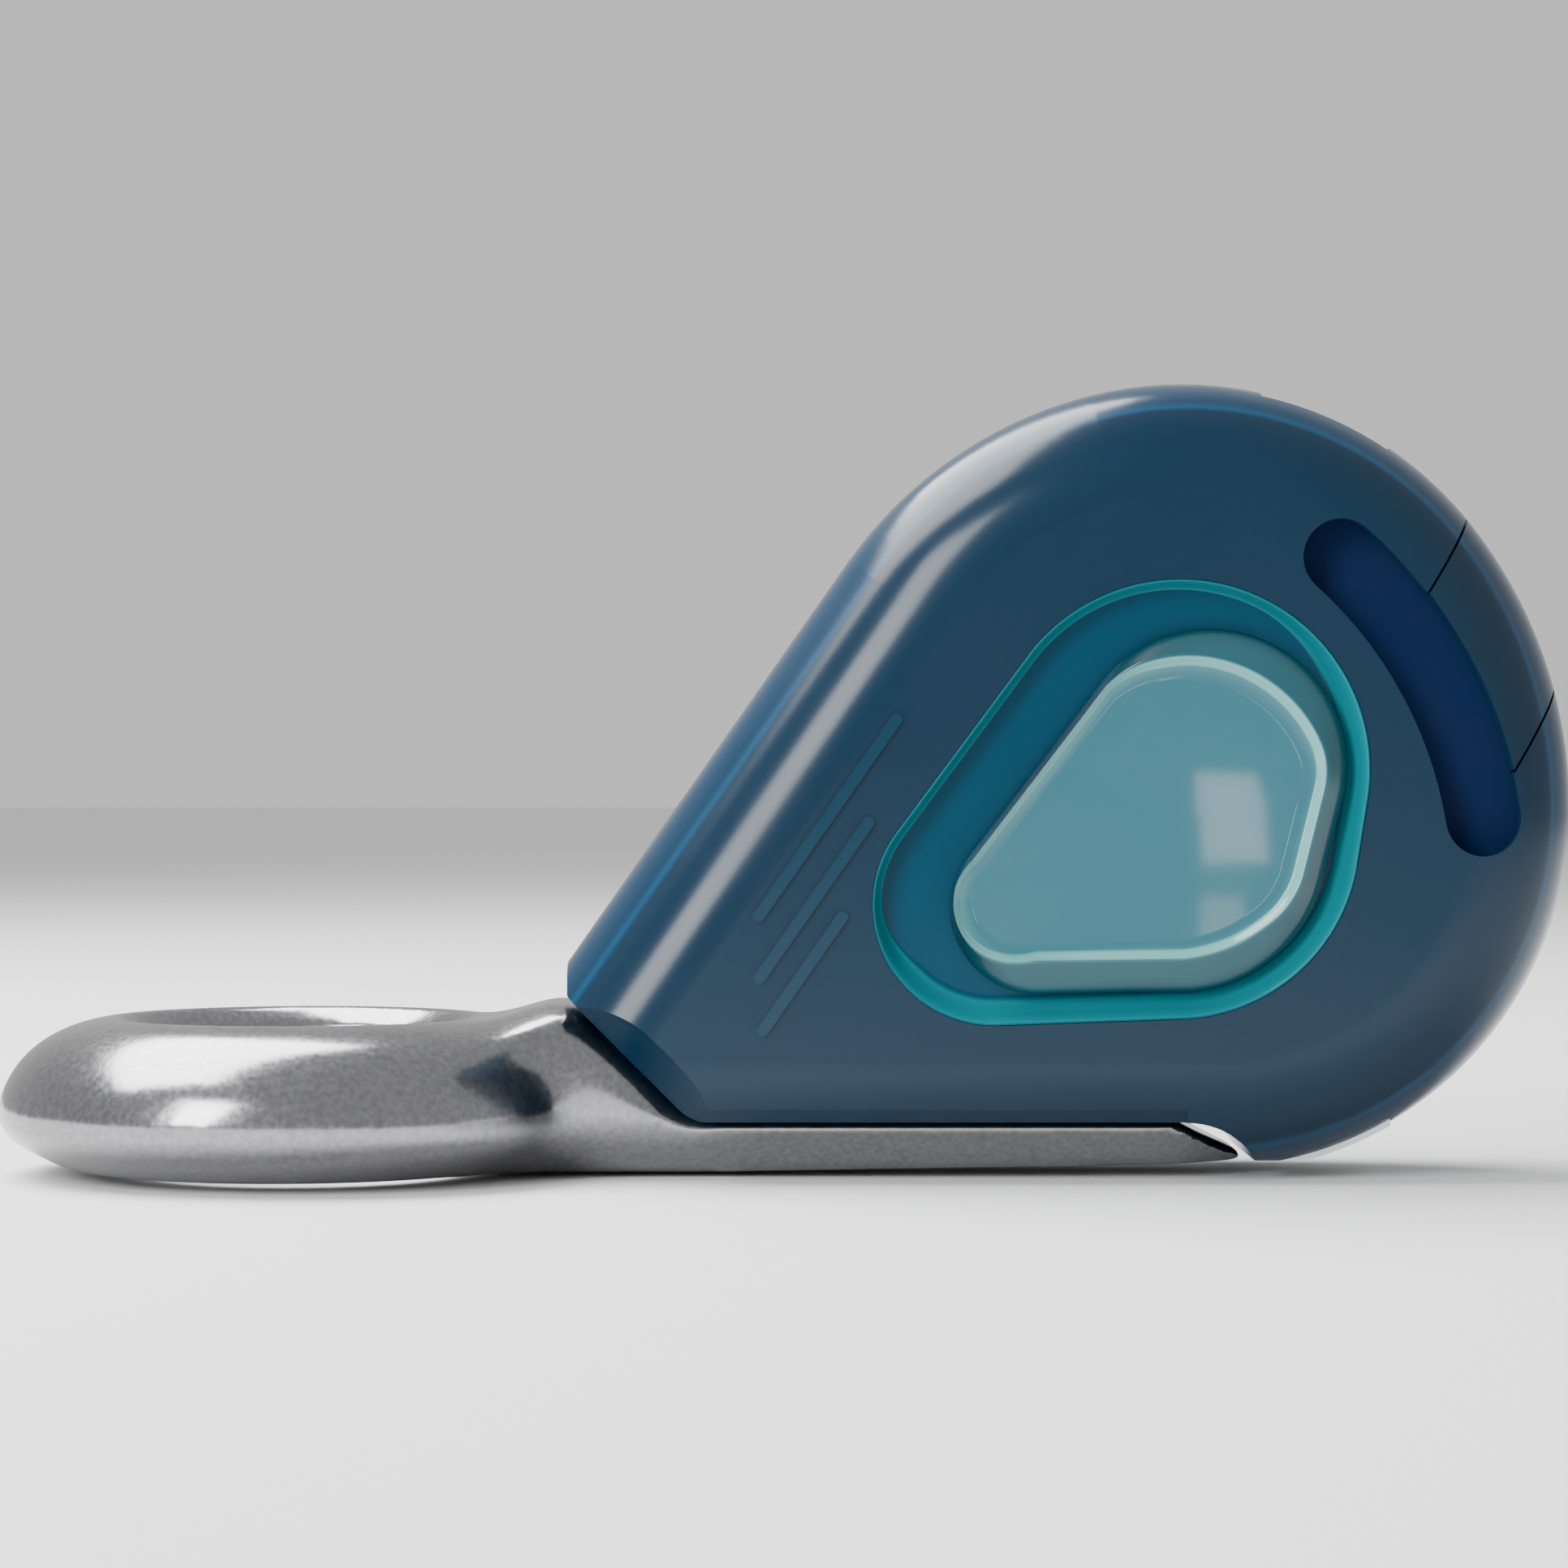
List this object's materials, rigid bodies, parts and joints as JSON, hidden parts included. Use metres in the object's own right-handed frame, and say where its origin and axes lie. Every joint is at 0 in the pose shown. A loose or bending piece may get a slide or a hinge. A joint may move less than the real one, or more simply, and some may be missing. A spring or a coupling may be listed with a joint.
{
  "type": "spring loaded camming clamp",
  "caption": "Compact housed cord clamp with a polished attachment eye, a spring-loaded toothed cam, a thumb release lever and a rim catch.",
  "frame": {"origin": "centre of the attachment eye's bore, halfway up its wall", "axes": "+Z along the eye's bore axis, +X from the eye to the round end of the housing, the thumb lever faces -Y"},
  "size_m": [0.0965, 0.0368, 0.0483],
  "materials": {
    "polished_steel": "mirror polished investment-cast stainless steel with fine grain",
    "tinted_shell": "glossy translucent deep blue polycarbonate",
    "navy_plate": "navy anodised aluminium side plate",
    "hard_steel": "satin hardened stainless steel",
    "navy_polymer": "matte navy glass-filled nylon",
    "aqua_lever": "glossy aqua translucent polycarbonate",
    "aqua_pad": "soft gloss pale aqua thumb surface",
    "teal_bezel": "glossy translucent teal polycarbonate",
    "spring_steel": "bright drawn spring steel",
    "bearing_polymer": "self-lubricating acetal",
    "catch_tint": "glossy translucent slate-blue polycarbonate",
    "aluminium_spacer": "satin anodised aluminium",
    "marker_orange": "signal orange printed foil",
    "rib_tint": "glossy raised ribs in the shell tint"
  },
  "bodies": {
    "housing": {"eye_frame": "polished_steel", "front_shell": "tinted_shell", "rear_shell": "tinted_shell", "front_plate": "navy_plate", "rear_plate": "navy_plate", "anvil": "hard_steel", "plate_rivets": "hard_steel", "plate_spacers": "aluminium_spacer", "shell_screws": "hard_steel", "upper_guide": "aluminium_spacer", "lower_guide": "aluminium_spacer", "rear_cap": "teal_bezel", "open_marker": "marker_orange", "grip_ribs": "rib_tint", "stop_pin": "hard_steel", "lever_bezel": "teal_bezel", "torsion_spring": "spring_steel", "thrust_washers": "bearing_polymer"},
    "cam_unit": {"cam": "hard_steel", "cam_shaft": "hard_steel", "drive_pins": "hard_steel", "shaft_circlip": "spring_steel", "cam_sector": "navy_polymer", "thumb_lever": "aqua_lever", "thumb_pad": "aqua_pad"},
    "catch": {"rim_catch": "catch_tint", "catch_spring": "spring_steel"}
  },
  "joints": [
    {"name": "cam_pivot", "type": "hinge", "parent": "housing", "child": "cam_unit", "pos_m": [0.0455, 0, 0.013], "axis": [0, -1, 0], "range_deg": [0, 13.5], "stiffness_Nm_per_rad": 0.1, "springref_deg": -28.65, "deforming": ["torsion_spring"]},
    {"name": "catch_slide", "type": "slide", "parent": "housing", "child": "catch", "axis": [-0.5446, 0, -0.8387], "range_m": [0, 0.0016], "stiffness_N_per_m": 500, "springref_m": -0.002}
  ]
}
